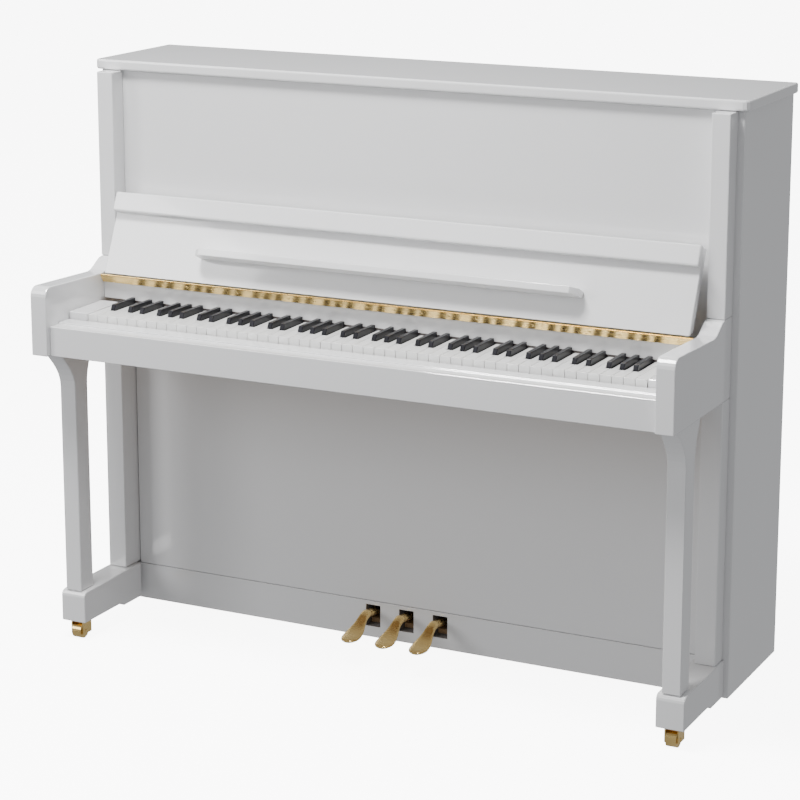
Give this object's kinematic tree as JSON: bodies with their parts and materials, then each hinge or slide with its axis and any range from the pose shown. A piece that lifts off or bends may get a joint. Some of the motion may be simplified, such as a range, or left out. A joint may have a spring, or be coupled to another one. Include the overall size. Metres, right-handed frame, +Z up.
{
  "type": "upright piano",
  "caption": "Upright piano in white lacquer with open folding fallboard, music desk, hinged lid, three brass pedals, jointed keys and brass casters.",
  "frame": {"origin": "centre of the footprint, on the floor", "axes": "+X from bass to treble, +Y from the player to the wall, +Z up"},
  "size_m": [1.447, 0.604, 1.218],
  "materials": {
    "white_lacquer": "high-gloss white lacquer on board",
    "ivory_white": "polished white key tops",
    "ebony_black": "satin black",
    "polished_brass": "polished",
    "beech_wood": "satin",
    "spruce_board": "varnished",
    "bronzed_iron": "bronze-coloured coating",
    "steel": "bright",
    "red_felt": "felt",
    "grey_felt": "felt"
  },
  "bodies": {
    "case": {"action_frame": "beech_wood", "arm_left": "white_lacquer", "arm_right": "white_lacquer", "back_frame": "beech_wood", "balance_rail": "red_felt", "bottom_board": "beech_wood", "fallboard_hinge": "polished_brass", "iron_plate": "bronzed_iron", "key_bed": "beech_wood", "key_block_left": "white_lacquer", "key_block_right": "white_lacquer", "key_slip": "white_lacquer", "leg_left": "white_lacquer", "leg_right": "white_lacquer", "lower_pilaster_left": "white_lacquer", "lower_pilaster_right": "white_lacquer", "nameboard": "white_lacquer", "pin_block": "beech_wood", "plinth_rail": "white_lacquer", "side_panel_left": "white_lacquer", "side_panel_right": "white_lacquer", "soundboard": "spruce_board", "toe_block_left": "white_lacquer", "toe_block_right": "white_lacquer", "upper_panel": "white_lacquer", "upper_pilaster_left": "white_lacquer", "upper_pilaster_right": "white_lacquer"},
    "lid": {"top_lid": "white_lacquer"},
    "fallboard": {"fallboard": "white_lacquer"},
    "flap": {"fallboard_flap": "white_lacquer"},
    "desk": {"music_desk": "white_lacquer"},
    "lower_panel": {"lower_panel": "white_lacquer"},
    "soft_pedal": {"soft_pedal": "polished_brass"},
    "practice_pedal": {"practice_pedal": "polished_brass"},
    "damper_pedal": {"damper_pedal": "polished_brass"},
    "hammer_rest_rail": {"hammer_rest_rail": "grey_felt"},
    "muffler_rail": {"muffler_rail": "grey_felt"},
    "damper_lift_rod": {"damper_lift_rod": "steel"},
    "front_fork_left": {"caster_fork_front_left": "polished_brass"},
    "front_fork_right": {"caster_fork_front_right": "polished_brass"},
    "front_wheel_left": {"caster_wheel_front_left": "polished_brass"},
    "front_wheel_right": {"caster_wheel_front_right": "polished_brass"},
    "rear_wheel_left": {"caster_wheel_rear_left": "polished_brass"},
    "rear_wheel_right": {"caster_wheel_rear_right": "polished_brass"},
    "key_a4": {"key_a4": "ivory_white"},
    "key_a_sharp4": {"key_a_sharp4": "ebony_black"},
    "key_b4": {"key_b4": "ivory_white"},
    "key_c4": {"key_c4": "ivory_white"},
    "key_c_sharp4": {"key_c_sharp4": "ebony_black"},
    "key_d4": {"key_d4": "ivory_white"},
    "key_d_sharp4": {"key_d_sharp4": "ebony_black"},
    "key_e4": {"key_e4": "ivory_white"},
    "key_f4": {"key_f4": "ivory_white"},
    "key_f_sharp4": {"key_f_sharp4": "ebony_black"},
    "key_g4": {"key_g4": "ivory_white"},
    "key_g_sharp4": {"key_g_sharp4": "ebony_black"},
    "natural_keys_bass": {"natural_keys_bass": "ivory_white"},
    "natural_keys_treble": {"natural_keys_treble": "ivory_white"},
    "sharp_keys_bass": {"sharp_keys_bass": "ebony_black"},
    "sharp_keys_treble": {"sharp_keys_treble": "ebony_black"}
  },
  "joints": [
    {"name": "lid_hinge", "type": "hinge", "parent": "case", "child": "lid", "pos_m": [0, 0.294, 1.218], "axis": [-1, 0, 0], "range_deg": [0, 100]},
    {"name": "fallboard_hinge", "type": "hinge", "parent": "case", "child": "fallboard", "pos_m": [0, -0.0995, 0.7775], "axis": [1, 0, 0], "range_deg": [0, 113.5]},
    {"name": "flap_hinge", "type": "hinge", "parent": "fallboard", "child": "flap", "pos_m": [0, -0.02751, 0.9392], "axis": [-1, 0, 0], "range_deg": [0, 90]},
    {"name": "desk_hinge", "type": "hinge", "parent": "fallboard", "child": "desk", "pos_m": [0, -0.07257, 0.83995], "axis": [-1, 0, 0], "range_deg": [0, 90]},
    {"name": "lower_panel_tilt", "type": "hinge", "parent": "case", "child": "lower_panel", "pos_m": [0, 0.02, 0.107], "axis": [1, 0, 0], "range_deg": [0, 15]},
    {"name": "soft_pedal_pivot", "type": "hinge", "parent": "case", "child": "soft_pedal", "pos_m": [-0.078, 0.067, 0.08], "axis": [1, 0, 0], "range_deg": [0, 7], "stiffness_Nm_per_rad": 22, "springref_deg": -5.73},
    {"name": "practice_pedal_pivot", "type": "hinge", "parent": "case", "child": "practice_pedal", "pos_m": [0, 0.067, 0.08], "axis": [1, 0, 0], "range_deg": [0, 7], "stiffness_Nm_per_rad": 22, "springref_deg": -5.73},
    {"name": "damper_pedal_pivot", "type": "hinge", "parent": "case", "child": "damper_pedal", "pos_m": [0.078, 0.067, 0.08], "axis": [1, 0, 0], "range_deg": [0, 7], "stiffness_Nm_per_rad": 22, "springref_deg": -5.73},
    {"name": "hammer_rail_travel", "type": "slide", "parent": "case", "child": "hammer_rest_rail", "axis": [0, 1, 0], "range_m": [0, 0.019]},
    {"name": "muffler_travel", "type": "slide", "parent": "case", "child": "muffler_rail", "axis": [0, 0, -1], "range_m": [0, 0.025]},
    {"name": "damper_rod_turn", "type": "hinge", "parent": "case", "child": "damper_lift_rod", "pos_m": [0, 0.14, 0.85], "axis": [1, 0, 0], "range_deg": [0, 14]},
    {"name": "front_swivel_left", "type": "hinge", "parent": "case", "child": "front_fork_left", "pos_m": [-0.673, -0.183, 0.0416], "axis": [0, 0, 1], "continuous": true},
    {"name": "front_roll_left", "type": "hinge", "parent": "front_fork_left", "child": "front_wheel_left", "pos_m": [-0.673, -0.193, 0.01636], "axis": [1, 0, 0], "continuous": true},
    {"name": "rear_roll_left", "type": "hinge", "parent": "case", "child": "rear_wheel_left", "pos_m": [-0.6, 0.268, 0.01636], "axis": [1, 0, 0], "continuous": true},
    {"name": "front_swivel_right", "type": "hinge", "parent": "case", "child": "front_fork_right", "pos_m": [0.673, -0.183, 0.0416], "axis": [0, 0, 1], "continuous": true},
    {"name": "front_roll_right", "type": "hinge", "parent": "front_fork_right", "child": "front_wheel_right", "pos_m": [0.673, -0.193, 0.01636], "axis": [1, 0, 0], "continuous": true},
    {"name": "rear_roll_right", "type": "hinge", "parent": "case", "child": "rear_wheel_right", "pos_m": [0.6, 0.268, 0.01636], "axis": [1, 0, 0], "continuous": true},
    {"name": "key_a4_balance", "type": "hinge", "parent": "case", "child": "key_a4", "pos_m": [0, -0.013, 0.699], "axis": [1, 0, 0], "range_deg": [0, 2.8], "stiffness_Nm_per_rad": 0.8, "springref_deg": -11.46},
    {"name": "key_a_sharp4_balance", "type": "hinge", "parent": "case", "child": "key_a_sharp4", "pos_m": [0, -0.013, 0.699], "axis": [1, 0, 0], "range_deg": [0, 2.8], "stiffness_Nm_per_rad": 0.8, "springref_deg": -11.46},
    {"name": "key_b4_balance", "type": "hinge", "parent": "case", "child": "key_b4", "pos_m": [0, -0.013, 0.699], "axis": [1, 0, 0], "range_deg": [0, 2.8], "stiffness_Nm_per_rad": 0.8, "springref_deg": -11.46},
    {"name": "key_c4_balance", "type": "hinge", "parent": "case", "child": "key_c4", "pos_m": [0, -0.013, 0.699], "axis": [1, 0, 0], "range_deg": [0, 2.8], "stiffness_Nm_per_rad": 0.8, "springref_deg": -11.46},
    {"name": "key_c_sharp4_balance", "type": "hinge", "parent": "case", "child": "key_c_sharp4", "pos_m": [0, -0.013, 0.699], "axis": [1, 0, 0], "range_deg": [0, 2.8], "stiffness_Nm_per_rad": 0.8, "springref_deg": -11.46},
    {"name": "key_d4_balance", "type": "hinge", "parent": "case", "child": "key_d4", "pos_m": [0, -0.013, 0.699], "axis": [1, 0, 0], "range_deg": [0, 2.8], "stiffness_Nm_per_rad": 0.8, "springref_deg": -11.46},
    {"name": "key_d_sharp4_balance", "type": "hinge", "parent": "case", "child": "key_d_sharp4", "pos_m": [0, -0.013, 0.699], "axis": [1, 0, 0], "range_deg": [0, 2.8], "stiffness_Nm_per_rad": 0.8, "springref_deg": -11.46},
    {"name": "key_e4_balance", "type": "hinge", "parent": "case", "child": "key_e4", "pos_m": [0, -0.013, 0.699], "axis": [1, 0, 0], "range_deg": [0, 2.8], "stiffness_Nm_per_rad": 0.8, "springref_deg": -11.46},
    {"name": "key_f4_balance", "type": "hinge", "parent": "case", "child": "key_f4", "pos_m": [0, -0.013, 0.699], "axis": [1, 0, 0], "range_deg": [0, 2.8], "stiffness_Nm_per_rad": 0.8, "springref_deg": -11.46},
    {"name": "key_f_sharp4_balance", "type": "hinge", "parent": "case", "child": "key_f_sharp4", "pos_m": [0, -0.013, 0.699], "axis": [1, 0, 0], "range_deg": [0, 2.8], "stiffness_Nm_per_rad": 0.8, "springref_deg": -11.46},
    {"name": "key_g4_balance", "type": "hinge", "parent": "case", "child": "key_g4", "pos_m": [0, -0.013, 0.699], "axis": [1, 0, 0], "range_deg": [0, 2.8], "stiffness_Nm_per_rad": 0.8, "springref_deg": -11.46},
    {"name": "key_g_sharp4_balance", "type": "hinge", "parent": "case", "child": "key_g_sharp4", "pos_m": [0, -0.013, 0.699], "axis": [1, 0, 0], "range_deg": [0, 2.8], "stiffness_Nm_per_rad": 0.8, "springref_deg": -11.46},
    {"name": "natural_keys_bass_balance", "type": "hinge", "parent": "case", "child": "natural_keys_bass", "pos_m": [0, -0.013, 0.699], "axis": [1, 0, 0], "range_deg": [0, 2.8], "stiffness_Nm_per_rad": 16, "springref_deg": -11.46},
    {"name": "natural_keys_treble_balance", "type": "hinge", "parent": "case", "child": "natural_keys_treble", "pos_m": [0, -0.013, 0.699], "axis": [1, 0, 0], "range_deg": [0, 2.8], "stiffness_Nm_per_rad": 16, "springref_deg": -11.46},
    {"name": "sharp_keys_bass_balance", "type": "hinge", "parent": "case", "child": "sharp_keys_bass", "pos_m": [0, -0.013, 0.699], "axis": [1, 0, 0], "range_deg": [0, 2.8], "stiffness_Nm_per_rad": 16, "springref_deg": -11.46},
    {"name": "sharp_keys_treble_balance", "type": "hinge", "parent": "case", "child": "sharp_keys_treble", "pos_m": [0, -0.013, 0.699], "axis": [1, 0, 0], "range_deg": [0, 2.8], "stiffness_Nm_per_rad": 16, "springref_deg": -11.46}
  ],
  "couplings": [
    {"joint": "hammer_rail_travel", "follows": "soft_pedal_pivot", "m_per_rad": 0.15},
    {"joint": "muffler_travel", "follows": "practice_pedal_pivot", "m_per_rad": 0.2},
    {"joint": "damper_rod_turn", "follows": "damper_pedal_pivot", "ratio": 1.7}
  ]
}
